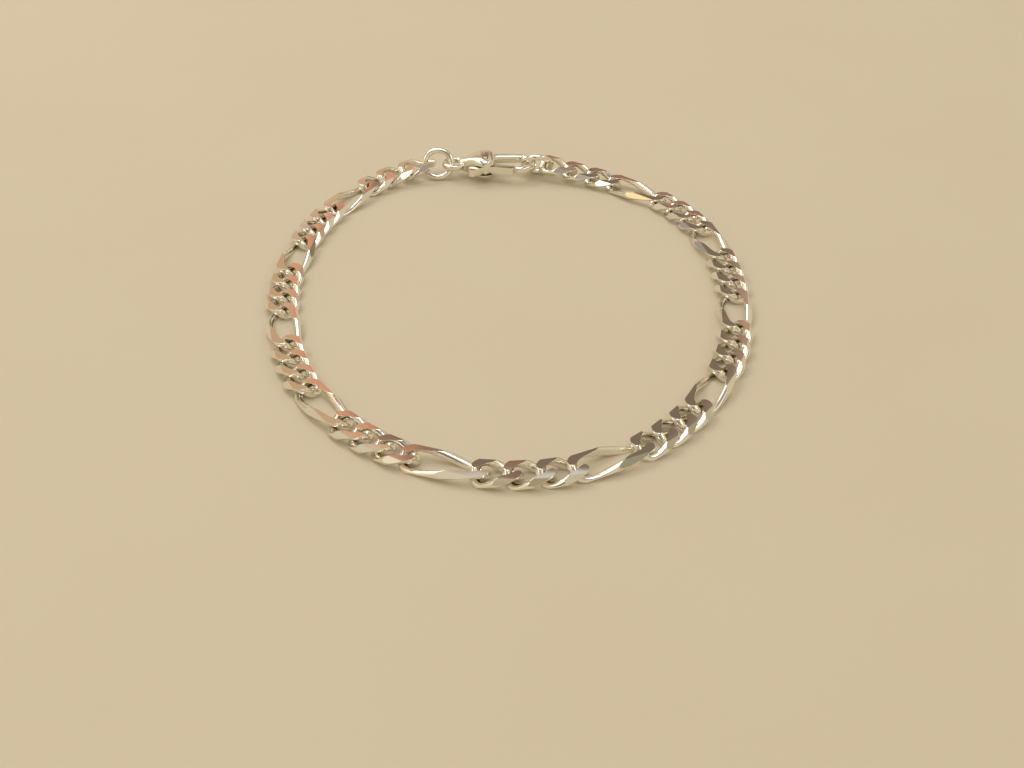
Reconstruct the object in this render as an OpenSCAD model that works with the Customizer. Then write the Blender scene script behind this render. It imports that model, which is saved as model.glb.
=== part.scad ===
/* [Chain] */
// Full width of the flat chain across its links
chain_w = 4.15; // [3.9:0.05:4.5]
// Thickness of the chain once its top and bottom are ground flat
chain_t = 1.4; // [1.3:0.05:1.6]
// Diameter of the round wire that the links are bent from
wire_d = 1.0; // [0.85:0.05:1.05]
// Length that one short link adds to the chain
short_pitch = 3.25; // [3:0.05:3.6]
// Length that one long link adds to the chain
long_pitch = 7.55; // [6.5:0.05:9]
// Number of long links
long_count = 10; // [8:1:11]
// Number of short links between two long ones
short_run = 3; // [2:1:4]
// Clearance between links that hang in each other
link_gap = 0.15; // [0.1:0.01:0.18]

/* [Diamond cut] */
// Angle of the cut along each outer edge, measured from the flat top
bevel_angle = 48; // [40:1:60]
// How far the edge cut goes into the round of the wire
bevel_depth = 0.13; // [0.05:0.01:0.18]

/* [Jump rings] */
// Outer diameter of a jump ring
ring_d = 4.5; // [4.4:0.1:4.8]
// Wire diameter of a jump ring
ring_wire_d = 0.8; // [0.6:0.05:0.85]
// Slant of a jump ring against the floor
ring_slant = 55; // [54:1:62]

/* [Clasp] */
// Length of the clasp from its eye to the end of its claw
clasp_len = 13; // [12.5:0.5:15]
// Thickness of the barrel that holds the lever
barrel_t = 3.2; // [3:0.1:3.6]
// Width of the barrel
barrel_w = 5.0; // [4.6:0.1:5.4]
// Length of the barrel
barrel_len = 4.4; // [4:0.1:4.8]
// Thickness of the neck between the barrel and the eye
neck_d = 2.2; // [1.8:0.1:2.6]
// Bar diameter of the claw
claw_d = 1.2; // [1:0.05:1.25]
// Radius of the claw at the middle of its bar
claw_r = 1.9; // [1.8:0.05:2.1]
// Bar diameter of the eye
eye_bar_d = 0.85; // [0.7:0.05:0.9]
// Radius of the eye at the middle of its bar
eye_r = 1.35; // [1.3:0.05:1.5]
// Thickness of the lever
lever_t = 1.0; // [0.8:0.05:1.2]
// Width of the lever's gate arm
lever_w = 1.0; // [0.8:0.05:1.1]
// Diameter of the lever's boss round the pin
boss_d = 1.6; // [1.4:0.05:1.7]
// How far the thumb piece reaches back from the pin
thumb_len = 1.75; // [1.5:0.05:2]
// How far the thumb piece's round end stands out of the barrel's side
thumb_out = 0.1; // [0:0.05:0.3]
// Length of the claw's straight nose beyond its round
nose_len = 0.35; // [0.2:0.05:0.5]
// Distance of the hinge pin from the barrel's claw end
pin_setback = 1.3; // [1.2:0.05:1.4]
// Distance of the hinge pin inwards from the claw's bar
pin_inset = 0.6; // [0.5:0.05:0.7]
// Diameter of the hinge pin
pin_d = 0.7; // [0.5:0.05:0.8]
// Clearance round the hinge pin
pin_gap = 0.05; // [0.04:0.01:0.08]
// How far each end of the pin lies below the barrel's face
pin_recess = 0.25; // [0.1:0.05:0.4]
// Room behind the lever's boss for its spring
spring_room = 0.5; // [0.4:0.05:0.6]
// Clearance beside the lever and at its tip
lever_gap = 0.15; // [0.12:0.01:0.2]

/* [Hidden] */
silver = "silver";
wire_sides = 6;
link_stations = 16;
short_roundness = 2.1;
long_roundness = 2.5;
route_steps = 12;
// Crossing wires run aslant, so they need a little more than half a wire each way
crossing_margin = 1.18;

// The closed loop as the bracelet lies, from the eye's ring round the left, front and right
route = [
    [-11.5, 34.8], [-16.5, 32.6], [-21.4, 26.7], [-24.8, 18.8], [-26.6, 9.8],
    [-26.8, 0.8], [-25.7, -7.6], [-23.5, -15.7], [-19.8, -23.6], [-13.6, -30.3],
    [-6.1, -34.6], [2.2, -35.6], [10.1, -33.4], [16.4, -28.2], [21.3, -20.8],
    [24.4, -13], [25.9, -5.5], [26.4, 4], [25.6, 12.4], [23.1, 20.9],
    [18, 28.3], [10.4, 33], [3.4, 34.9], [-4, 35.6]
];

// Sizes that follow from the ones above
group_len = short_run + 1;
link_count = long_count * group_len + short_run;
chain_len = long_count * long_pitch + (link_count - long_count) * short_pitch;
ring_r = (ring_d - ring_wire_d) / 2;
ring_pitch = 2 * ring_r - ring_wire_d - link_gap;
clasp_pitch = clasp_len - eye_bar_d - claw_d - link_gap;
closure_len = 2 * ring_pitch + clasp_pitch;
loop_len = chain_len + closure_len;
chain_mid = chain_t / 2;
clasp_mid = ring_r * sin(ring_slant) + ring_wire_d / 2;
lift_run = short_run * short_pitch + long_pitch / 2;
link_half_w = (chain_w - wire_d) / 2;
link_rise = (wire_d + link_gap) / 2 * crossing_margin;

// Names, counted from the eye's end of the chain
function two_digits(n) = str(n < 10 ? "0" : "", n);
function is_long(k) = k % group_len == short_run;
function link_name(k) = is_long(k)
    ? str("long_link_", two_digits(floor(k / group_len) + 1))
    : str("short_link_", two_digits(k - floor(k / group_len) + 1));

// The route as a smooth closed curve, scaled so that the whole chain and its clasp just fill it
function wrap(i) = (i + len(route)) % len(route);
function spline(p, q, r, s, u) = let (v = 1 - u)
    (v * v * v * p + (3 * u * u * u - 6 * u * u + 4) * q + (3 * v * v * v - 6 * v * v + 4) * r + u * u * u * s) / 6;
curve = [
    for (i = [0 : len(route) - 1], j = [0 : route_steps - 1])
        spline(route[wrap(i - 1)], route[i], route[wrap(i + 1)], route[wrap(i + 2)], j / route_steps)
];
function run_length(p, i = 0, sum = 0, out = [0]) = i >= len(p) ? out
    : let (next = sum + norm(p[(i + 1) % len(p)] - p[i])) run_length(p, i + 1, next, concat(out, [next]));
curve_at = run_length(curve);
route_scale = loop_len / curve_at[len(curve)];
function span_of(s, lo, hi) = hi - lo <= 1 ? lo
    : let (mid = floor((lo + hi) / 2)) curve_at[mid] <= s ? span_of(s, mid, hi) : span_of(s, lo, mid);
function flat_point(s) = let (
        raw = (s % loop_len) / route_scale,
        i = span_of(raw, 0, len(curve)),
        u = (raw - curve_at[i]) / (curve_at[i + 1] - curve_at[i]))
    route_scale * (curve[i] * (1 - u) + curve[(i + 1) % len(curve)] * u);

// The last links at each end rise to the middle of the clasp
function lift(s) = let (left = min(s, chain_len - s)) (clasp_mid - chain_mid) * pow(max(0, 1 - left / lift_run), 2);
function chain_point(s) = concat(flat_point(s), [chain_mid + lift(s)]);
function link_start(k) = let (group = floor(k / group_len), place = k % group_len)
    group * (long_pitch + short_run * short_pitch) + place * short_pitch;
function link_pitch(k) = is_long(k) ? long_pitch : short_pitch;

// Puts its children on the line from p to q, with the origin a given way along it
module along(p, q, way) {
    d = q - p;
    translate(p + d * way)
        rotate([0, -atan2(d[2], norm([d[0], d[1]])), atan2(d[1], d[0])])
            children();
}

// One link: an oval of round wire, twisted so that each end goes over one neighbour and under the other
function signed_power(v, e) = sign(v) * pow(abs(v), e);
function link_path(pitch, roundness) = let (
        half_len = (pitch + wire_d + link_gap) / 2,
        cross_y = link_half_w * pow(1 - pow(pitch / 2 / half_len, roundness), 1 / roundness))
    [for (i = [0 : link_stations - 1]) let (
            a = 360 * i / link_stations,
            x = half_len * signed_power(cos(a), 2 / roundness),
            y = link_half_w * signed_power(sin(a), 2 / roundness))
        [x, y, -link_rise * x * y / (pitch / 2 * cross_y)]];

function unit(v) = v / norm(v);
function bevelled(p) = let (
        n = [0, sign(p[1]) * sin(bevel_angle), sign(p[2]) * cos(bevel_angle)],
        reach = link_half_w * sin(bevel_angle) + wire_d / 2 - bevel_depth,
        over = p * n - reach)
    over > 0 ? p - n * over : p;
function ground(p) = [p[0], p[1], min(chain_t / 2, max(-chain_t / 2, p[2]))];

module link(pitch, roundness) {
    path = link_path(pitch, roundness);
    count = len(path);
    skin = [
        for (i = [0 : count - 1]) let (
                run = unit(path[(i + 1) % count] - path[(i + count - 1) % count]),
                out = unit(cross(run, [0, 0, 1])),
                up = cross(out, run))
            for (j = [0 : wire_sides - 1]) let (a = 360 * (j + 0.5) / wire_sides)
                ground(bevelled(path[i] + wire_d / 2 * (cos(a) * out + sin(a) * up)))
    ];
    faces = [
        for (i = [0 : count - 1], j = [0 : wire_sides - 1])
            let (i2 = (i + 1) % count, j2 = (j + 1) % wire_sides)
                each [
                    [i * wire_sides + j, i2 * wire_sides + j2, i2 * wire_sides + j],
                    [i * wire_sides + j, i * wire_sides + j2, i2 * wire_sides + j2]
                ]
    ];
    color(silver) polyhedron(skin, faces);
}

module chain_link(k) {
    along(chain_point(link_start(k)), chain_point(link_start(k) + link_pitch(k)), 0.5)
        link(link_pitch(k), is_long(k) ? long_roundness : short_roundness);
}

// The clasp and its two rings lie on the straight line across the gap between the chain's ends
module on_closure(distance) {
    from = chain_point(0);
    to = chain_point(chain_len);
    along(from, to, 0.5)
        translate([distance - closure_len / 2, 0, 0])
            children();
}

// The clasp lies with its lever on the inner side of the loop
module at_clasp() {
    on_closure(clasp_at) rotate([180, 0, 0]) children();
}

// Places along the clasp, measured from the outside of its eye
clasp_at = ring_pitch - link_gap / 2 - eye_bar_d;
eye_x = eye_r + eye_bar_d / 2;
barrel_x0 = eye_x + eye_r - eye_bar_d / 4;
barrel_x1 = barrel_x0 + barrel_len;
claw_x = clasp_len - claw_d / 2 - claw_r;
nose_x = claw_x - nose_len;
pin_x = barrel_x1 - pin_setback;
pin_y = claw_r - pin_inset;
tip_x = nose_x - lever_gap - lever_w / 2;
slot_y = pin_y - boss_d / 2 - spring_room;

module round_bar(from, to, d) {
    along(from, to, 0) rotate([0, 90, 0]) cylinder(h = norm(to - from), d = d, $fn = 32);
}

module round_ring(r, d, turn) {
    rotate_extrude(angle = turn, $fn = 48) translate([r, 0]) circle(d = d, $fn = 24);
}

// A flat bar with round ends between two points
module flat_bar(from, to, w) {
    hull() {
        translate(from) circle(d = w, $fn = 32);
        translate(to) circle(d = w, $fn = 32);
    }
}

// The barrel is a soft pillow that narrows towards the eye
module barrel() {
    hull() {
        translate([barrel_x0 + neck_d / 2, 0, 0]) sphere(d = neck_d, $fn = 24);
        for (side = [-1, 1])
            translate([barrel_x1 - barrel_t / 2, side * (barrel_w - barrel_t) / 2, 0])
                sphere(d = barrel_t, $fn = 32);
    }
}

module jump_ring(slant) {
    color(silver) rotate([slant, 0, 0]) round_ring(ring_r, ring_wire_d, 360);
}

module clasp_body() {
    color(silver) difference() {
        union() {
            translate([eye_x, 0, 0]) round_ring(eye_r, eye_bar_d, 360);
            barrel();
            round_bar([barrel_x1 - barrel_t / 2, -claw_r, 0], [claw_x, -claw_r, 0], claw_d);
            translate([claw_x, 0, 0]) rotate([0, 0, -90]) round_ring(claw_r, claw_d, 180);
            round_bar([nose_x, claw_r, 0], [claw_x, claw_r, 0], claw_d);
        }
        translate([barrel_x0 + lever_gap, slot_y, -lever_t / 2 - lever_gap])
            cube([barrel_len, barrel_w, lever_t + 2 * lever_gap]);
        translate([pin_x, pin_y, 0]) cylinder(h = barrel_t * 2, d = pin_d + 2 * pin_gap, center = true, $fn = 32);
    }
}

// The lever lies in the barrel's slot: a gate arm towards the claw and a thumb piece outside
module clasp_lever() {
    thumb = [pin_x - thumb_len, barrel_w / 2 + thumb_out];
    color(silver) difference() {
        linear_extrude(lever_t, center = true) {
            flat_bar([pin_x, pin_y], [pin_x, pin_y], boss_d);
            flat_bar([pin_x, pin_y], [tip_x, claw_r], lever_w);
            flat_bar([pin_x, pin_y], thumb, lever_w);
        }
        translate([pin_x, pin_y, 0]) cylinder(h = lever_t * 2, d = pin_d + 2 * pin_gap, center = true, $fn = 32);
    }
}

module clasp_pin() {
    color(silver) translate([pin_x, pin_y, 0]) cylinder(h = barrel_t - 2 * pin_recess, d = pin_d, center = true, $fn = 32);
}

for (k = [0 : link_count - 1])
    chain_link(k);
on_closure(ring_pitch / 2) jump_ring(ring_slant);  // jump_ring_a
on_closure(closure_len - ring_pitch / 2) jump_ring(-ring_slant);  // jump_ring_b
at_clasp() clasp_body();
at_clasp() clasp_lever();
at_clasp() clasp_pin();
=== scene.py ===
import math
import random

import bmesh
import bpy
import numpy as np
from mathutils import Euler, Matrix, Vector


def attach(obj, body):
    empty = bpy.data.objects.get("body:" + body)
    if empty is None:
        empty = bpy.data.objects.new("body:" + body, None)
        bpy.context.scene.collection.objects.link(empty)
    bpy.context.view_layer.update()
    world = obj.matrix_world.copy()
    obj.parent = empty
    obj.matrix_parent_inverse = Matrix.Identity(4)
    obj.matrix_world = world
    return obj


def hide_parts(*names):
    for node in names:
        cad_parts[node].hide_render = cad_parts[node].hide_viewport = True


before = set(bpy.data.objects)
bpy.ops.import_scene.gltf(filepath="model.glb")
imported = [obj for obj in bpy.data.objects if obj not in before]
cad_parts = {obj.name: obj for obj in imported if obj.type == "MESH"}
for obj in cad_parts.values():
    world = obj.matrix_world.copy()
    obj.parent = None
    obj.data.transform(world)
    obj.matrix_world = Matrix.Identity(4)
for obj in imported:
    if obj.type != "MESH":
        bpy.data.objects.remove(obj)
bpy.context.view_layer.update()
mm = 0.001
print("frame loaded:", len(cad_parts), "nodes")

# The camera comes first. Its place was worked out from the oval of the loop and the even length
# of the links.
cameraSetup = {
    "lens": 51.96,  # mm, on a sensor 36 mm wide
    "place": Vector((0.24, -151.4, 86.3)) * mm,
    "elevation": 32.86,  # degrees above the floor
}


def makeCamera():
    data = bpy.data.cameras.new("camera")
    data.lens = cameraSetup["lens"]
    data.clip_start = 0.01
    camera = bpy.data.objects.new("camera", data)
    camera.location = cameraSetup["place"]
    camera.rotation_euler = (math.radians(90 - cameraSetup["elevation"]), 0, 0)
    bpy.context.scene.collection.objects.link(camera)
    bpy.context.scene.camera = camera


makeCamera()
print("camera placed")


# Adds one node, sets its settings, and links or fills its inputs. A node given as an input stands for
# its first output.
def addNode(tree, kind, inputs=None, **settings):
    node = tree.nodes.new(kind)
    for name, value in settings.items():
        setattr(node, name, value)
    for socket, value in (inputs or {}).items():
        for one in value if isinstance(value, list) else [value]:
            if isinstance(one, bpy.types.Node):
                one = one.outputs[0]
            if isinstance(one, bpy.types.NodeSocket):
                tree.links.new(one, node.inputs[socket])
            else:
                node.inputs[socket].default_value = one
    return node


# An sRGB hex colour as the linear colour that Blender's sockets take
def linear(hexColour):
    parts = [int(hexColour[i:i + 2], 16) / 255 for i in (0, 2, 4)]
    return tuple(v / 12.92 if v <= 0.04045 else ((v + 0.055) / 1.055) ** 2.4 for v in parts) + (1,)


def newMaterial(name):
    material = bpy.data.materials.new(name)
    material.use_nodes = True
    material.node_tree.nodes.clear()
    return material, material.node_tree


# Sterling silver wire, drawn, bent and barrel polished: mirror bright, with the fine orange peel that
# tumbling leaves, and a warm grey that is partly tarnish and partly painted shade where one link shields the
# next from the polish and the light
def tumbledSilver():
    look = {"silver": "F4F0E6", "tarnishAndShade": "AEA387", "peelSize": 0.3, "peelDepth": 0.02, "swaySize": 1.3,
            "swayDepth": 0.022, "roughness": (0.05, 0.16)}
    material, tree = newMaterial("tumbledSilver")
    place = addNode(tree, "ShaderNodeAttribute", attribute_name="linkPlace").outputs["Vector"]
    draw = addNode(tree, "ShaderNodeAttribute", attribute_name="linkDraw").outputs["Fac"]
    peel = addNode(tree, "ShaderNodeTexNoise", {
        "Vector": place, "W": draw, "Scale": 1 / look["peelSize"], "Detail": 3.0}, noise_dimensions="4D")
    sway = addNode(tree, "ShaderNodeTexNoise", {
        "Vector": place, "W": draw, "Scale": 1 / look["swaySize"], "Detail": 0.0}, noise_dimensions="4D")
    rough = addNode(tree, "ShaderNodeMapRange", {
        "Value": peel.outputs["Fac"], "From Min": 0.3, "From Max": 0.7,
        "To Min": look["roughness"][0], "To Max": look["roughness"][1]})
    broad = addNode(tree, "ShaderNodeBump", {
        "Height": sway.outputs["Fac"], "Distance": look["swayDepth"] * mm, "Strength": 1.0})
    tarnishShadeMask = addNode(tree, "ShaderNodeAttribute", attribute_name="linkShield").outputs["Fac"]
    coarse = addNode(tree, "ShaderNodeMapRange", {"Value": tarnishShadeMask, "To Min": 0.35, "To Max": 1.0})
    bump = addNode(tree, "ShaderNodeBump", {
        "Height": peel.outputs["Fac"], "Distance": look["peelDepth"] * mm, "Strength": coarse,
        "Normal": broad})
    patchy = addNode(tree, "ShaderNodeMapRange", {
        "Value": sway.outputs["Fac"], "From Min": 0.3, "From Max": 0.7, "To Min": 0.5, "To Max": 1.0})
    amount = addNode(tree, "ShaderNodeMath", {0: tarnishShadeMask, 1: patchy}, operation="MULTIPLY")
    # a warm grey mixed in by the mask: partly tarnish, partly painted shade in the recesses between links
    colour = addNode(tree, "ShaderNodeMix", {
        "Factor": amount, 6: linear(look["silver"]), 7: linear(look["tarnishAndShade"])}, data_type="RGBA")
    shader = addNode(tree, "ShaderNodeBsdfPrincipled", {
        "Base Color": colour.outputs[2], "Metallic": 1.0,
        "Roughness": rough, "Normal": bump})
    addNode(tree, "ShaderNodeOutputMaterial", {"Surface": shader})
    return material


# The same silver where a diamond tool has sliced the links flat: a sharper mirror with the tool's fine
# lines, drawn coarser than they are so that they show. The chain is held bent over a drum for the cut, so
# the flats are a little crowned and each mirrors another part of the room.
def diamondCutSilver():
    look = {"silver": "F6F2E9", "lineSpacing": 0.2, "lineDepth": 0.00025, "crown": 0.010, "swaySize": 2.2,
            "swayDepth": 0.035, "grainSize": 0.16, "grainDepth": 0.0016, "roughness": (0.05, 0.11)}
    bandLength = 0.314  # of a wave texture whose scale is 1
    material, tree = newMaterial("diamondCutSilver")
    place = addNode(tree, "ShaderNodeAttribute", attribute_name="linkPlace").outputs["Vector"]
    draw = addNode(tree, "ShaderNodeAttribute", attribute_name="linkDraw").outputs["Fac"]
    lines = addNode(tree, "ShaderNodeTexWave", {
        "Vector": place, "Scale": bandLength / look["lineSpacing"], "Distortion": 0.6, "Detail": 1.0},
        bands_direction="X")
    rough = addNode(tree, "ShaderNodeMapRange", {
        "Value": lines.outputs["Fac"], "To Min": look["roughness"][0], "To Max": look["roughness"][1]})
    across = addNode(tree, "ShaderNodeSeparateXYZ", {0: place}).outputs[1]
    square = addNode(tree, "ShaderNodeMath", {0: across, 1: across}, operation="MULTIPLY")
    crown = addNode(tree, "ShaderNodeBump", {
        "Height": square, "Distance": look["crown"] * mm, "Strength": 1.0}, invert=True)
    sway = addNode(tree, "ShaderNodeTexNoise", {
        "Vector": place, "W": draw, "Scale": 1 / look["swaySize"], "Detail": 0.0}, noise_dimensions="4D")
    swayed = addNode(tree, "ShaderNodeBump", {
        "Height": sway.outputs["Fac"], "Distance": look["swayDepth"] * mm, "Strength": 1.0,
        "Normal": crown})
    grain = addNode(tree, "ShaderNodeTexNoise", {
        "Vector": place, "W": draw, "Scale": 1 / look["grainSize"], "Detail": 3.0}, noise_dimensions="4D")
    grained = addNode(tree, "ShaderNodeBump", {
        "Height": grain.outputs["Fac"], "Distance": look["grainDepth"] * mm, "Strength": 1.0,
        "Normal": swayed})
    bump = addNode(tree, "ShaderNodeBump", {
        "Height": lines.outputs["Fac"], "Distance": look["lineDepth"] * mm, "Strength": 1.0,
        "Normal": grained})
    shader = addNode(tree, "ShaderNodeBsdfPrincipled", {
        "Base Color": linear(look["silver"]), "Metallic": 1.0,
        "Roughness": rough, "Normal": bump})
    addNode(tree, "ShaderNodeOutputMaterial", {"Surface": shader})
    return material


# Cast sterling silver, polished on a wheel: bright and softly uneven, because the wheel can't reach evenly
def castSilver():
    look = {"silver": "F0ECE0", "waveSize": 1.4, "waveDepth": 0.012, "roughness": (0.08, 0.17)}
    material, tree = newMaterial("castSilver")
    place = addNode(tree, "ShaderNodeTexCoord").outputs["Object"]
    wave = addNode(tree, "ShaderNodeTexNoise", {
        "Vector": place, "Scale": 1 / (look["waveSize"] * mm), "Detail": 2.0})
    rough = addNode(tree, "ShaderNodeMapRange", {
        "Value": wave.outputs["Fac"], "From Min": 0.3, "From Max": 0.7,
        "To Min": look["roughness"][0], "To Max": look["roughness"][1]})
    bump = addNode(tree, "ShaderNodeBump", {
        "Height": wave.outputs["Fac"], "Distance": look["waveDepth"] * mm, "Strength": 1.0})
    shader = addNode(tree, "ShaderNodeBsdfPrincipled", {
        "Base Color": linear(look["silver"]), "Metallic": 1.0,
        "Roughness": rough, "Normal": bump})
    addNode(tree, "ShaderNodeOutputMaterial", {"Surface": shader})
    return material


silvers = {"wire": tumbledSilver(), "cut": diamondCutSilver(), "cast": castSilver()}
print("silver finishes made")

# The chain: ovals of round wire, each twisted so that its ends pass over and under their neighbours, then
# the whole chain ground flat on both faces and diamond cut along both edges. Sizes in mm, angles in degrees.
chain = {
    "width": 4.15,
    "thickness": 1.4,
    "wire": 1.0,
    "gap": 0.15,
    "riseMargin": 1.18,  # more twist than the wire needs to clear its neighbour
    "cutAngle": 48,
    "cutDepth": 0.05,
    "pathPoints": 720,
    "wireSides": 28,
    "looseness": 1.2,  # how far a link may be tipped from the chain's own plane
    # picked out of 399,999 draws for the way the eight links at the front tip, from long_link_05 to
    # short_link_21. The other links' tips are chance.
    "seed": 57871,
    "drawStep": 1.7,  # how far the finish's noise moves on from one link to the next
    "slab": 30.0,  # side of the boxes that trim the links, wider than any link
    "flatness": 0.0005,  # how near a face lies to a cut to count as cut
    "count": 43,
    "group": 4,  # every fourth link is long
}
shortLink = {"pitch": 3.25, "roundness": 2.1, "stations": 100}
longLink = {"pitch": 7.55, "roundness": 2.5, "stations": 176}
chainOrder = []
for place in range(chain["count"]):
    longOnes = (place + 1) // chain["group"]
    isLong = (place + 1) % chain["group"] == 0
    chainOrder.append(f"long_link_{longOnes:02d}" if isLong else f"short_link_{place - longOnes + 1:02d}")


# Centre and axes of a symmetrical node, from its own corners: longest way first, flat way last
def nodeAxes(name):
    corners = np.array([v.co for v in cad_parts[name].data.vertices])
    corners = np.unique(np.round(corners, 8), axis=0)
    centre = corners.mean(axis=0)
    _, axes = np.linalg.eigh(np.cov((corners - centre).T))
    return Vector(centre), [Vector(axes[:, i]) for i in (2, 1, 0)]


# One point for each link of a kind, at its centre, with the turn that the link has in the chain
def linkPoints(names):
    draw = random.Random(chain["seed"])
    tips = {name: [math.radians(draw.uniform(-1, 1) * chain["looseness"]) for _ in range(2)]
            for name in chainOrder}
    centres, turns, draws = [], [], []
    for name in names:
        centre, (run, _, up) = nodeAxes(name)
        place = chainOrder.index(name)
        ahead = place + 1 < len(chainOrder)
        other, _ = nodeAxes(chainOrder[place + 1 if ahead else place - 1])
        run = run if (run.dot(other - centre) > 0) == ahead else -run
        up = up if up.z > 0 else -up
        turn = Matrix((run, up.cross(run), up)).transposed() @ Euler((*tips[name], 0)).to_matrix()
        centres.append(centre)
        turns.extend(turn.to_quaternion())
        draws.append(place * chain["drawStep"])
    points = bpy.data.meshes.new("linkPoints")
    points.from_pydata(centres, [], [])
    points.attributes.new("linkTurn", "QUATERNION", "POINT").data.foreach_set("value", turns)
    points.attributes.new("linkDraw", "FLOAT", "POINT").data.foreach_set("value", draws)
    return points


# The Geometry Nodes tree that bends, twists and cuts one link, and sets a copy on every point
def linkTree():
    tree = bpy.data.node_groups.new("figaroLinks", "GeometryNodeTree")
    tree.interface.new_socket("Points", in_out="INPUT", socket_type="NodeSocketGeometry")
    for name in ("Half Length", "Half Width", "Roundness", "Twist", "Wire Diameter", "Thickness", "Cut Angle",
                 "Cut Reach"):
        tree.interface.new_socket(name, in_out="INPUT", socket_type="NodeSocketFloat")
    for name in ("Stations", "Wire Sides"):
        tree.interface.new_socket(name, in_out="INPUT", socket_type="NodeSocketInt")
    for name in ("Wire Finish", "Cut Finish"):
        tree.interface.new_socket(name, in_out="INPUT", socket_type="NodeSocketMaterial")
    tree.interface.new_socket("Links", in_out="OUTPUT", socket_type="NodeSocketGeometry")
    size = addNode(tree, "NodeGroupInput").outputs
    position = addNode(tree, "GeometryNodeInputPosition")
    signs = addNode(tree, "ShaderNodeVectorMath", {0: position}, operation="SIGN")
    sizes = addNode(tree, "ShaderNodeVectorMath", {0: position}, operation="ABSOLUTE")

    # a round ring of points, drawn out to the oval and twisted
    ring = addNode(tree, "GeometryNodeCurvePrimitiveCircle", {
        "Resolution": chain["pathPoints"], "Radius": 1.0})
    power = addNode(tree, "ShaderNodeMath", {0: 2.0, 1: size["Roundness"]}, operation="DIVIDE")
    powers = addNode(tree, "ShaderNodeCombineXYZ", {0: power, 1: power, 2: 1.0})
    halves = addNode(tree, "ShaderNodeCombineXYZ", {0: size["Half Length"], 1: size["Half Width"]})
    rounded = addNode(tree, "ShaderNodeVectorMath", {0: sizes, 1: powers}, operation="POWER")
    signed = addNode(tree, "ShaderNodeVectorMath", {0: rounded, 1: signs}, operation="MULTIPLY")
    oval = addNode(tree, "ShaderNodeVectorMath", {0: signed, 1: halves}, operation="MULTIPLY")
    flat = addNode(tree, "ShaderNodeSeparateXYZ", {0: oval}).outputs
    corner = addNode(tree, "ShaderNodeMath", {0: flat[0], 1: flat[1]}, operation="MULTIPLY")
    twist = addNode(tree, "ShaderNodeMath", {0: size["Twist"], 1: -1.0}, operation="MULTIPLY")
    rise = addNode(tree, "ShaderNodeMath", {0: corner, 1: twist}, operation="MULTIPLY")
    twisted = addNode(tree, "ShaderNodeCombineXYZ", {0: flat[0], 1: flat[1], 2: rise})
    path = addNode(tree, "GeometryNodeSetPosition", {"Geometry": ring, "Position": twisted})
    even = addNode(tree, "GeometryNodeResampleCurve", {"Curve": path, "Count": size["Stations"]})
    upright = addNode(tree, "GeometryNodeSetCurveNormal", {"Curve": even}, mode="Z_UP")
    radius = addNode(tree, "ShaderNodeMath", {0: size["Wire Diameter"], 1: 0.5}, operation="MULTIPLY")
    circle = addNode(tree, "GeometryNodeCurvePrimitiveCircle", {
        "Resolution": size["Wire Sides"], "Radius": radius})
    wire = addNode(tree, "GeometryNodeCurveToMesh", {"Curve": upright, "Profile Curve": circle})

    # what the flat grinding and the two diamond cuts leave of it
    kept = [wire]
    cutHeight = addNode(tree, "ShaderNodeMath", {0: size["Cut Reach"], 1: 2.0}, operation="MULTIPLY")
    for side in (0, 1, -1):
        height = cutHeight if side else size["Thickness"]
        box = addNode(tree, "ShaderNodeCombineXYZ", {0: chain["slab"], 1: chain["slab"], 2: height})
        lean = addNode(tree, "ShaderNodeMath", {0: size["Cut Angle"], 1: float(side)}, operation="MULTIPLY")
        angles = addNode(tree, "ShaderNodeCombineXYZ", {0: lean})
        turn = addNode(tree, "FunctionNodeEulerToRotation", {0: angles})
        slab = addNode(tree, "GeometryNodeMeshCube", {"Size": box})
        kept.append(addNode(tree, "GeometryNodeTransform", {"Geometry": slab, "Rotation": turn}))
    link = addNode(tree, "GeometryNodeMeshBoolean", {"Mesh 2": kept}, operation="INTERSECT",
                   solver="MANIFOLD")

    # faces that lie on a cut stay flat, the others are shaded round
    away = addNode(tree, "ShaderNodeSeparateXYZ", {0: sizes}).outputs
    half = addNode(tree, "ShaderNodeMath", {0: size["Thickness"], 1: 0.5}, operation="MULTIPLY")
    top = addNode(tree, "ShaderNodeMath", {0: half, 1: chain["flatness"]}, operation="SUBTRACT")
    onTop = addNode(tree, "ShaderNodeMath", {0: away[2], 1: top}, operation="GREATER_THAN")
    sine = addNode(tree, "ShaderNodeMath", {0: size["Cut Angle"]}, operation="SINE")
    cosine = addNode(tree, "ShaderNodeMath", {0: size["Cut Angle"]}, operation="COSINE")
    across = addNode(tree, "ShaderNodeMath", {0: away[1], 1: sine}, operation="MULTIPLY")
    upwards = addNode(tree, "ShaderNodeMath", {0: away[2], 1: cosine}, operation="MULTIPLY")
    outwards = addNode(tree, "ShaderNodeMath", {0: across, 1: upwards}, operation="ADD")
    edge = addNode(tree, "ShaderNodeMath", {0: size["Cut Reach"], 1: chain["flatness"]}, operation="SUBTRACT")
    onEdge = addNode(tree, "ShaderNodeMath", {0: outwards, 1: edge}, operation="GREATER_THAN")
    isCut = addNode(tree, "ShaderNodeMath", {0: onTop, 1: onEdge}, operation="MAXIMUM")
    marked = addNode(tree, "GeometryNodeStoreNamedAttribute", {
        "Geometry": link, "Name": "cutFace", "Value": isCut}, data_type="BOOLEAN", domain="FACE")
    cutMark = addNode(tree, "GeometryNodeInputNamedAttribute", {"Name": "cutFace"}, data_type="BOOLEAN")
    placed = addNode(tree, "GeometryNodeStoreNamedAttribute", {
        "Geometry": marked, "Name": "linkPlace", "Value": position}, data_type="FLOAT_VECTOR")
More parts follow.
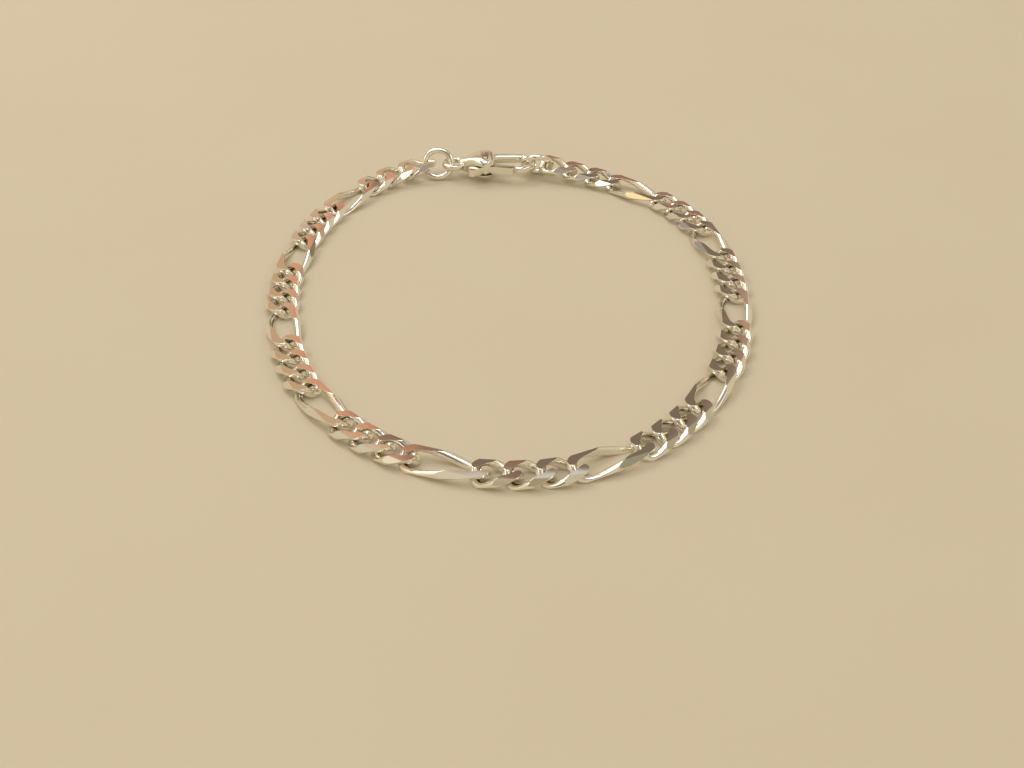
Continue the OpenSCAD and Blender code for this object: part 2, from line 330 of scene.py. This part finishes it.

    # the inner faces of the two ends, where the polish reaches least: the mask for tarnish and for painted
    # shade where the links hide each other
    normal = addNode(tree, "GeometryNodeInputNormal")
    facing = addNode(tree, "ShaderNodeVectorMath", {0: signs, 1: normal}, operation="MULTIPLY")
    parts = addNode(tree, "ShaderNodeSeparateXYZ", {0: facing}).outputs
    inwards = addNode(tree, "ShaderNodeMath", {0: parts[0], 1: parts[1]}, operation="ADD")
    hidden = addNode(tree, "ShaderNodeMapRange", {"Value": inwards, "From Min": 0.3, "From Max": -0.9})
    fromEnd = addNode(tree, "ShaderNodeMath", {0: size["Half Length"], 1: away[0]}, operation="SUBTRACT")
    atEnd = addNode(tree, "ShaderNodeMapRange", {"Value": fromEnd, "From Min": 1.5, "From Max": 0.5})
    # this mask darkens the wire as tarnish and as painted shade
    tarnishShadeMask = addNode(tree, "ShaderNodeMath", {0: hidden, 1: atEnd}, operation="MULTIPLY")
    tarnishShaded = addNode(tree, "GeometryNodeStoreNamedAttribute", {
        "Geometry": placed, "Name": "linkShield", "Value": tarnishShadeMask}, data_type="FLOAT")
    uncut = addNode(tree, "FunctionNodeBooleanMath", {0: cutMark}, operation="NOT")
    shaded = addNode(tree, "GeometryNodeSetShadeSmooth", {
        "Geometry": tarnishShaded, "Shade Smooth": uncut}, domain="FACE")

    turns = addNode(tree, "GeometryNodeInputNamedAttribute", {"Name": "linkTurn"}, data_type="QUATERNION")
    copies = addNode(tree, "GeometryNodeInstanceOnPoints", {
        "Points": size["Points"], "Instance": shaded, "Rotation": turns, "Scale": (mm, mm, mm)})
    real = addNode(tree, "GeometryNodeRealizeInstances", {0: copies})
    allWire = addNode(tree, "GeometryNodeSetMaterial", {"Geometry": real, "Material": size["Wire Finish"]})
    allCut = addNode(tree, "GeometryNodeSetMaterial", {
        "Geometry": allWire, "Selection": cutMark, "Material": size["Cut Finish"]})
    addNode(tree, "NodeGroupOutput", {0: allCut})
    return tree


# Runs the tree for one kind of link and keeps the result as a plain mesh
def makeLinks(pieceName, kind, names, tree):
    halfLength = (kind["pitch"] + chain["wire"] + chain["gap"]) / 2
    halfWidth = (chain["width"] - chain["wire"]) / 2
    half = kind["pitch"] / 2
    crossing = halfWidth * (1 - (half / halfLength) ** kind["roundness"]) ** (1 / kind["roundness"])
    rise = (chain["wire"] + chain["gap"]) / 2 * chain["riseMargin"]
    angle = math.radians(chain["cutAngle"])
    values = {
        "Half Length": halfLength, "Half Width": halfWidth, "Roundness": kind["roundness"],
        "Twist": rise / (half * crossing), "Wire Diameter": chain["wire"], "Thickness": chain["thickness"],
        "Cut Angle": angle, "Cut Reach": halfWidth * math.sin(angle) + chain["wire"] / 2 - chain["cutDepth"],
        "Stations": kind["stations"], "Wire Sides": chain["wireSides"],
        "Wire Finish": silvers["wire"], "Cut Finish": silvers["cut"],
    }
    piece = bpy.data.objects.new(pieceName, linkPoints(names))
    bpy.context.scene.collection.objects.link(piece)
    modifier = piece.modifiers.new("figaroLinks", "NODES")
    modifier.node_group = tree
    for item in tree.interface.items_tree:
        if item.name in values:
            modifier[item.identifier] = values[item.name]
    asPlainMesh(piece)
    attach(piece, "bracelet")
    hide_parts(*names)
    print(pieceName, "made:", len(names), "links,", len(piece.data.polygons), "faces")
    return piece


# Keeps what the modifiers make of a piece as its own mesh, and removes them
def asPlainMesh(piece):
    seen = piece.evaluated_get(bpy.context.evaluated_depsgraph_get())
    mesh = bpy.data.meshes.new_from_object(seen)
    mesh.name = piece.name
    piece.modifiers.clear()
    piece.data = mesh


figaro = linkTree()
shortNames = [name for name in chainOrder if name.startswith("short")]
longNames = [name for name in chainOrder if name.startswith("long")]
makeLinks("shortLinks", shortLink, shortNames, figaro)
makeLinks("longLinks", longLink, longNames, figaro)

# The closing: two jump rings and a lobster clasp between the chain's ends. Sizes in mm.
jumpRing = {
    "diameter": 4.5,
    "wire": 0.8,
    "stations": 128,
    "sides": 28,
    "jointWidth": 0.06,  # where the ring's two ends meet
    "jointDepth": 0.05,
}
clasp = {
    "length": 13,
    "eyeRadius": 1.35,
    "eyeBar": 0.85,
    "eyeStations": 72,
    "eyeSides": 24,
    "barrelLength": 4.4,
    "barrelWidth": 5,
    "barrelThickness": 3.2,
    # shares of the barrel's length, half width and half thickness, from the eye to the claw
    "barrelForm": [(-0.14, 0.2, 0.36), (-0.08, 0.27, 0.46), (0.02, 0.33, 0.55), (0.14, 0.42, 0.66),
                   (0.28, 0.59, 0.8), (0.42, 0.79, 0.92), (0.55, 0.93, 0.985), (0.68, 1.0, 1.0),
                   (0.8, 0.97, 0.97), (0.9, 0.85, 0.86), (0.96, 0.68, 0.68), (0.99, 0.45, 0.45)],
    "barrelSides": 64,
    "barrelPower": 3.2,  # how square the barrel's section is, where 2 is an oval
    "clawRadius": 1.9,
    "clawBar": 1.2,
    "clawSides": 28,
    "clawRoot": 1.55,  # thickness of the claw where it leaves the barrel
    "rootDepth": 2.2,  # how far the claw's root reaches into the barrel
    "rootShift": 0.45,  # and how far it leans to the barrel's middle
    "noseLength": 0.35,
    "noseRound": 0.12,
    "voxel": 0.085,
    "smoothing": 9,
}
lever = {
    "thickness": 1,
    "arm": 1,
    "boss": 1.6,
    "thumbLength": 1.75,
    "thumbOut": 0.1,
    "gap": 0.15,
    "springRoom": 0.5,
    "edge": 0.16,
}
pin = {
    "diameter": 0.7,
    "gap": 0.05,
    "recess": 0.25,
    "setback": 1.3,
    "inset": 0.6,
    "dome": 0.14,
    "sides": 40,
    "holeSides": 48,
    "holeReach": 3,  # of the hole's cutter, to each side of the middle
}

# Places along the clasp, measured from the outside of its eye
eyeAt = clasp["eyeRadius"] + clasp["eyeBar"] / 2
barrelStart = eyeAt + clasp["eyeRadius"] - clasp["eyeBar"] / 4
barrelEnd = barrelStart + clasp["barrelLength"]
clawAt = clasp["length"] - clasp["clawBar"] / 2 - clasp["clawRadius"]
noseAt = clawAt - clasp["noseLength"]
pinAt = Vector((barrelEnd - pin["setback"], clasp["clawRadius"] - pin["inset"], 0))
leverTip = Vector((noseAt - lever["gap"] - lever["arm"] / 2, clasp["clawRadius"], 0))
thumbTip = Vector((pinAt.x - lever["thumbLength"], clasp["barrelWidth"] / 2 + lever["thumbOut"], 0))


# The clasp lies on the line through both rings, with its lever on the loop's inner side
def claspPlace():
    ringA, _ = nodeAxes("jump_ring_a")
    ringB, _ = nodeAxes("jump_ring_b")
    run = (ringB - ringA).normalized()
    side = run.cross(Vector((0, 0, 1))).normalized()
    ringPitch = jumpRing["diameter"] - 2 * jumpRing["wire"] - chain["gap"]
    eyeOutside = ringA + run * (ringPitch / 2 - chain["gap"] / 2 - clasp["eyeBar"]) * mm
    turn = Matrix((run, side, run.cross(side))).transposed().to_4x4()
    return Matrix.Translation(eyeOutside) @ turn @ Matrix.Scale(mm, 4)


# A round or squarish section: a ring of points about a centre
def section(centre, across, up, halfWidth, halfHeight, sides, power=2):
    points = []
    for i in range(sides):
        turn = 2 * math.pi * i / sides
        x, y = math.cos(turn), math.sin(turn)
        x = math.copysign(abs(x) ** (2 / power), x)
        y = math.copysign(abs(y) ** (2 / power), y)
        points.append(centre + across * (halfWidth * x) + up * (halfHeight * y))
    return points


# Adds the skin through a row of sections to a shape, closed into a loop or with an end face at both ends
def skin(shape, sections, loop=False):
    rows = [[shape.verts.new(point) for point in points] for points in sections]
    count = len(rows[0])
    for i in range(len(rows) if loop else len(rows) - 1):
        here, ahead = rows[i], rows[(i + 1) % len(rows)]
        for j in range(count):
            shape.faces.new((here[j], here[(j + 1) % count], ahead[(j + 1) % count], ahead[j]))
    if not loop:
        shape.faces.new(rows[0])
        shape.faces.new(rows[-1])


# The sections of a ring, necked in where its two ends meet if it has a joint
def ringSections(radius, bar, stations, sides, joint=None):
    sections = []
    for i in range(stations):
        turn = 2 * math.pi * i / stations
        out = Vector((math.cos(turn), math.sin(turn), 0))
        half = bar / 2
        if joint:
            way = min(turn, 2 * math.pi - turn) * radius / joint["jointWidth"]
            half -= joint["jointDepth"] * math.exp(-way * way)
        sections.append(section(out * radius, out, Vector((0, 0, 1)), half, half, sides))
    return sections


# A piece of the scene made from a shape, shaded round, with its place in its mesh
def newPiece(name, shape, place=None, finish=None):
    bmesh.ops.recalc_face_normals(shape, faces=shape.faces)
    for face in shape.faces:
        face.smooth = True
    mesh = bpy.data.meshes.new(name)
    shape.to_mesh(mesh)
    shape.free()
    if place:
        mesh.transform(place)
    if finish:
        mesh.materials.append(finish)
    piece = bpy.data.objects.new(name, mesh)
    bpy.context.scene.collection.objects.link(piece)
    return piece


# Says which body a piece moves with and which node it stands for
def addPiece(piece, node, body):
    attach(piece, body)
    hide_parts(node)
    print(piece.name, "made:", len(piece.data.polygons), "faces")


# A ring of drawn wire whose ends meet in a fine joint
def makeJumpRing(pieceName, node):
    centre, (_, _, axis) = nodeAxes(node)
    towards = Vector((0, 0, 1)).cross(axis).normalized()
    turn = Matrix((towards, axis.cross(towards), axis)).transposed().to_4x4()
    place = Matrix.Translation(centre) @ turn @ Matrix.Scale(mm, 4)
    shape = bmesh.new()
    radius = (jumpRing["diameter"] - jumpRing["wire"]) / 2
    sections = ringSections(radius, jumpRing["wire"], jumpRing["stations"], jumpRing["sides"], jumpRing)
    skin(shape, sections, loop=True)
    spots = [corner for vert in shape.verts for corner in vert.co]
    piece = newPiece(pieceName, shape, place, silvers["wire"])
    piece.data.attributes.new("linkPlace", "FLOAT_VECTOR", "POINT").data.foreach_set("vector", spots)
    addPiece(piece, node, "bracelet")


# The claw's middle line with its thickness: out of the barrel, along the back, round the end, to the nose
def clawPath():
    radius, bar = clasp["clawRadius"], clasp["clawBar"]
    path = []
    rootAt = barrelEnd - clasp["rootDepth"]
    for share in np.linspace(0, 1, 14):
        ease = (1 - share) ** 2
        point = Vector((rootAt + share * (clawAt - rootAt), -radius + clasp["rootShift"] * ease, 0))
        path.append((point, bar + (clasp["clawRoot"] - bar) * ease))
    for turn in np.linspace(-90, 90, 30)[1:]:
        angle = math.radians(turn)
        path.append((Vector((clawAt + radius * math.cos(angle), radius * math.sin(angle), 0)), bar))
    path.append((Vector((noseAt + bar / 4, radius, 0)), bar))
    for turn in (20, 40, 58, 74, 86):
        angle = math.radians(turn)
        end = noseAt + clasp["noseRound"] * (1 - math.sin(angle))
        path.append((Vector((end, radius, 0)), bar - 2 * clasp["noseRound"] * (1 - math.cos(angle))))
    return path


# Joins a claw, a barrel and an eye by voxels, as a caster's wax is blended, then cuts the lever's slot and
# the pin's hole
def makeClaspBody():
    up = Vector((0, 0, 1))
    shape = bmesh.new()
    eye = [[point + Vector((eyeAt, 0, 0)) for point in points]
           for points in ringSections(clasp["eyeRadius"], clasp["eyeBar"], clasp["eyeStations"],
                                      clasp["eyeSides"])]
    skin(shape, eye, loop=True)
    barrel = []
    for along, width, thick in clasp["barrelForm"]:
        centre = Vector((barrelStart + along * clasp["barrelLength"], 0, 0))
        barrel.append(section(centre, Vector((0, 1, 0)), up, width * clasp["barrelWidth"] / 2,
                              thick * clasp["barrelThickness"] / 2, clasp["barrelSides"],
                              clasp["barrelPower"]))
    skin(shape, barrel)
    path = clawPath()
    claw = []
    for i, (point, bar) in enumerate(path):
        before, after = path[max(i - 1, 0)][0], path[min(i + 1, len(path) - 1)][0]
        across = (after - before).normalized().cross(up)
        claw.append(section(point, across, up, bar / 2, bar / 2, clasp["clawSides"]))
    skin(shape, claw)
    piece = newPiece("claspBody", shape, finish=silvers["cast"])
    blend = piece.modifiers.new("blend", "REMESH")
    blend.mode = "VOXEL"
    blend.voxel_size = clasp["voxel"]
    blend.use_smooth_shade = True
    smooth = piece.modifiers.new("smooth", "SMOOTH")
    smooth.factor = 0.5
    smooth.iterations = clasp["smoothing"]

    slot = bmesh.new()
    low = (barrelStart + lever["gap"], pinAt.y - lever["boss"] / 2 - lever["springRoom"])
    size = (clasp["barrelLength"], clasp["barrelWidth"], lever["thickness"] + 2 * lever["gap"])
    middle = Vector((low[0] + size[0] / 2, low[1] + size[1] / 2, 0))
    bmesh.ops.create_cube(slot, matrix=Matrix.Translation(middle) @ Matrix.Diagonal((*size, 1)))
    hole = bmesh.new()
    radius = pin["diameter"] / 2 + pin["gap"]
    skin(hole, [section(pinAt + up * height, Vector((1, 0, 0)), Vector((0, 1, 0)), radius, radius,
                        pin["holeSides"]) for height in (-pin["holeReach"], pin["holeReach"])])
    cutters = [newPiece("slotCutter", slot), newPiece("holeCutter", hole)]
    for cutter in cutters:
        cut = piece.modifiers.new(cutter.name, "BOOLEAN")
        cut.object = cutter
        cut.solver = "EXACT"
    asPlainMesh(piece)
    for cutter in cutters:
        bpy.data.objects.remove(cutter)
    piece.data.transform(claspPlace())
    piece.data.set_sharp_from_angle(angle=math.radians(40))
    addPiece(piece, "clasp_body", "bracelet")


# A flat bar with round ends, as a closed prism
def flatBar(name, start, end, width):
    run = (end - start).normalized() if (end - start).length else Vector((1, 0, 0))
    across = Vector((-run.y, run.x, 0))
    outline = []
    for centre, first in ((end, -90), (start, 90)):
        for turn in range(first, first + 181, 9):
            angle = math.radians(turn)
            outline.append(centre + (run * math.cos(angle) + across * math.sin(angle)) * width / 2)
    half = Vector((0, 0, lever["thickness"] / 2))
    shape = bmesh.new()
    skin(shape, [[point - half for point in outline], [point + half for point in outline]])
    return newPiece(name, shape)


# The lever: a stamped flat blank of three round-ended bars, its edges rounded by tumbling
def makeLever():
    piece = flatBar("claspLever", pinAt, leverTip, lever["arm"])
    others = [flatBar("thumbBar", pinAt, thumbTip, lever["arm"]),
              flatBar("boss", pinAt, pinAt, lever["boss"])]
    for other in others:
        join = piece.modifiers.new(other.name, "BOOLEAN")
        join.object = other
        join.operation = "UNION"
        join.solver = "EXACT"
    soften = piece.modifiers.new("soften", "BEVEL")
    soften.width = lever["edge"]
    soften.segments = 4
    soften.limit_method = "ANGLE"
    soften.angle_limit = math.radians(60)
    asPlainMesh(piece)
    for other in others:
        bpy.data.objects.remove(other)
    piece.data.transform(claspPlace())
    piece.data.materials.clear()
    piece.data.materials.append(silvers["cast"])
    piece.data.set_sharp_from_angle(angle=math.radians(40))
    addPiece(piece, "clasp_lever", "lever")


# A pin with slightly domed ends
def makePin():
    half = clasp["barrelThickness"] / 2 - pin["recess"]
    radius = pin["diameter"] / 2
    profile = []
    for turn in (8, 25, 45, 65, 85):
        angle = math.radians(turn)
        profile.append((half - pin["dome"] + pin["dome"] * math.cos(angle), radius * math.sin(angle)))
    profile += [(-height, width) for height, width in reversed(profile)]
    shape = bmesh.new()
    skin(shape, [section(pinAt + Vector((0, 0, height)), Vector((1, 0, 0)), Vector((0, 1, 0)), width, width,
                         pin["sides"]) for height, width in profile])
    piece = newPiece("claspPin", shape, claspPlace(), silvers["cast"])
    addPiece(piece, "clasp_pin", "bracelet")


makeJumpRing("jumpRingA", "jump_ring_a")
makeJumpRing("jumpRingB", "jump_ring_b")
makeClaspBody()
makeLever()
makePin()


# Floor, light and surroundings. The board glows a little, in place of the light that the silver throws
# back on it.
def makeFloor():
    look = {"board": "CCC3AE", "blotch": "C8BEA9", "blotchSize": 30, "glow": "D2C0A0", "glowStrength": 0.12}
    material, tree = newMaterial("paintedBoard")
    place = addNode(tree, "ShaderNodeTexCoord").outputs["Object"]
    blotches = addNode(tree, "ShaderNodeTexNoise", {
        "Vector": place, "Scale": 1 / (look["blotchSize"] * mm), "Detail": 2.0})
    colour = addNode(tree, "ShaderNodeMix", {
        "Factor": blotches.outputs["Fac"], 6: linear(look["board"]), 7: linear(look["blotch"])},
        data_type="RGBA")
    shader = addNode(tree, "ShaderNodeBsdfPrincipled", {
        "Base Color": colour.outputs[2], "Roughness": 0.6, "Specular IOR Level": 0.2,
        "Emission Color": linear(look["glow"]), "Emission Strength": look["glowStrength"]})
    addNode(tree, "ShaderNodeOutputMaterial", {"Surface": shader})
    mesh = bpy.data.meshes.new("floor")
    floor = bpy.data.objects.new("floor", mesh)
    shape = bmesh.new()
    bmesh.ops.create_grid(shape, x_segments=1, y_segments=1, size=3)
    shape.to_mesh(mesh)
    shape.free()
    mesh.materials.append(material)
    bpy.context.scene.collection.objects.link(floor)


# A soft light hangs above, and the room around is drawn as broad soft patches of colour for the silver
# to mirror. They are guesses at a room that isn't seen: each was placed and coloured by what the links
# show from the camera, so from other sides they are untested.
room = {
    "horizon": "D9C7A3",
    "middle": "DCD0B6",
    "overhead": "DED4BC",
    "strength": 0.93,
    # azimuth from +Y towards +X and elevation of the middle, half width and half height, and softness of
    # the edge: all in degrees
    "patches": [
        {"at": (28, 12), "size": (15, 10), "soft": 4, "colour": "8E7B66", "bright": 1.0},
        {"at": (-46, 24), "size": (13, 16), "soft": 5, "colour": "A69C94", "bright": 1.0},
        {"at": (170, 84), "size": (35, 33), "soft": 4, "colour": "A59D9A", "bright": 1.0},
        {"at": (-170, 84), "size": (17, 17), "soft": 3, "colour": "FFFEFA", "bright": 2.6},
        {"at": (109, 51), "size": (21, 4.5), "soft": 2, "colour": "FFF2DE", "bright": 2.4},
        {"at": (-105, 36), "size": (14, 6), "soft": 3, "colour": "F4E6CC", "bright": 1.05},
        {"at": (-95, 40), "size": (5, 4), "soft": 1.5, "colour": "FFE2AA", "bright": 1.2},
        {"at": (-110, 48), "size": (15, 4.5), "soft": 2, "colour": "FFF6EA", "bright": 2.4},
        {"at": (-82, 49), "size": (7, 8), "soft": 2, "colour": "FFD2A4", "bright": 2.0},
        {"at": (180, 44), "size": (20, 5), "soft": 3, "colour": "AD9C7C", "bright": 1.0},
        {"at": (-160, 27), "size": (15, 11), "soft": 4, "colour": "463C3A", "bright": 1.0},
        {"at": (84, 22), "size": (16, 8), "soft": 4, "colour": "ABA284", "bright": 1.0},
        {"at": (117, 34), "size": (12, 6), "soft": 3, "colour": "9C9880", "bright": 1.0},
        {"at": (-15, 31), "size": (6.5, 9), "soft": 2, "colour": "CDA984", "bright": 1.0},
        {"at": (-6.4, 31), "size": (2.1, 9), "soft": 0.8, "colour": "E1A181", "bright": 1.0},
        {"at": (-3.6, 31), "size": (1.6, 9), "soft": 1.5, "colour": "A17664", "bright": 1.0},
        {"at": (12.5, 30), "size": (4.5, 9), "soft": 3, "colour": "BD9882", "bright": 1.0},
        {"at": (4, 31), "size": (6.5, 10), "soft": 2, "colour": "80705F", "bright": 1.0},
        {"at": (7.3, 23.5), "size": (3.6, 3.5), "soft": 0.8, "colour": "A07868", "bright": 1.0},
        {"at": (-1.7, 34.7), "size": (1.2, 1.7), "soft": 0.6, "colour": "9C7160", "bright": 1.0},
        {"at": (5.5, 46.5), "size": (8.5, 6.5), "soft": 1.5, "colour": "CFCAC6", "bright": 1.1},
    ],
}


def makeRoom():
    world = bpy.data.worlds.new("room")
    world.use_nodes = True
    bpy.context.scene.world = world
    tree = world.node_tree
    tree.nodes.clear()
    direction = addNode(tree, "ShaderNodeTexCoord").outputs["Generated"]
    height = addNode(tree, "ShaderNodeSeparateXYZ", {0: direction}).outputs[2]
    low = addNode(tree, "ShaderNodeMapRange", {"Value": height, "From Min": 0.0, "From Max": 0.5})
    high = addNode(tree, "ShaderNodeMapRange", {"Value": height, "From Min": 0.5, "From Max": 1.0})
    colour = addNode(tree, "ShaderNodeMix", {
        "Factor": low, 6: linear(room["horizon"]), 7: linear(room["middle"])}, data_type="RGBA")
    colour = addNode(tree, "ShaderNodeMix", {
        "Factor": high, 6: colour.outputs[2], 7: linear(room["overhead"])}, data_type="RGBA")
    for patch in room["patches"]:
        # how far a direction lies from the patch's middle, as a share of its size
        azimuth, elevation = (math.radians(angle) for angle in patch["at"])
        turned = addNode(tree, "ShaderNodeVectorRotate", {"Vector": direction, "Angle": azimuth},
                         rotation_type="Z_AXIS")
        tipped = addNode(tree, "ShaderNodeVectorRotate", {"Vector": turned, "Angle": -elevation},
                         rotation_type="X_AXIS")
        across, along = (1 / math.sin(math.radians(half)) for half in patch["size"])
        scaled = addNode(tree, "ShaderNodeVectorMath", {0: tipped, 1: (across, 0, along)},
                         operation="MULTIPLY")
        reach = addNode(tree, "ShaderNodeVectorMath", {0: scaled}, operation="LENGTH")
        ahead = addNode(tree, "ShaderNodeSeparateXYZ", {0: tipped}).outputs[1]
        edge = patch["soft"] / min(patch["size"])
        inside = addNode(tree, "ShaderNodeMapRange", {
            "Value": reach.outputs["Value"], "From Min": 1 + edge, "From Max": 1 - edge},
            interpolation_type="SMOOTHSTEP")
        front = addNode(tree, "ShaderNodeMath", {0: ahead, 1: 0.0}, operation="GREATER_THAN")
        share = addNode(tree, "ShaderNodeMath", {0: inside, 1: front}, operation="MULTIPLY")
        shade = tuple(part * patch["bright"] for part in linear(patch["colour"])[:3]) + (1,)
        colour = addNode(tree, "ShaderNodeMix", {
            "Factor": share, 6: colour.outputs[2], 7: shade}, data_type="RGBA")
    background = addNode(tree, "ShaderNodeBackground", {
        "Color": colour.outputs[2], "Strength": room["strength"]})
    addNode(tree, "ShaderNodeOutputWorld", {"Surface": background})


softbox = {
    "size": 0.4,  # m
    "energy": 1.15,
    "colour": "FFFAF2",
    "place": (-0.3, 0.3, 0.55),
}


def makeLight():
    data = bpy.data.lights.new("softbox", "AREA")
    data.shape = "DISK"
    data.size = softbox["size"]
    data.energy = softbox["energy"]
    data.color = linear(softbox["colour"])[:3]
    light = bpy.data.objects.new("softbox", data)
    light.location = softbox["place"]
    light.rotation_euler = (-light.location).to_track_quat("-Z", "Y").to_euler()
    bpy.context.scene.collection.objects.link(light)


makeFloor()
makeRoom()
makeLight()
print("floor, room and light made")
bpy.context.scene.view_settings.view_transform = "Standard"
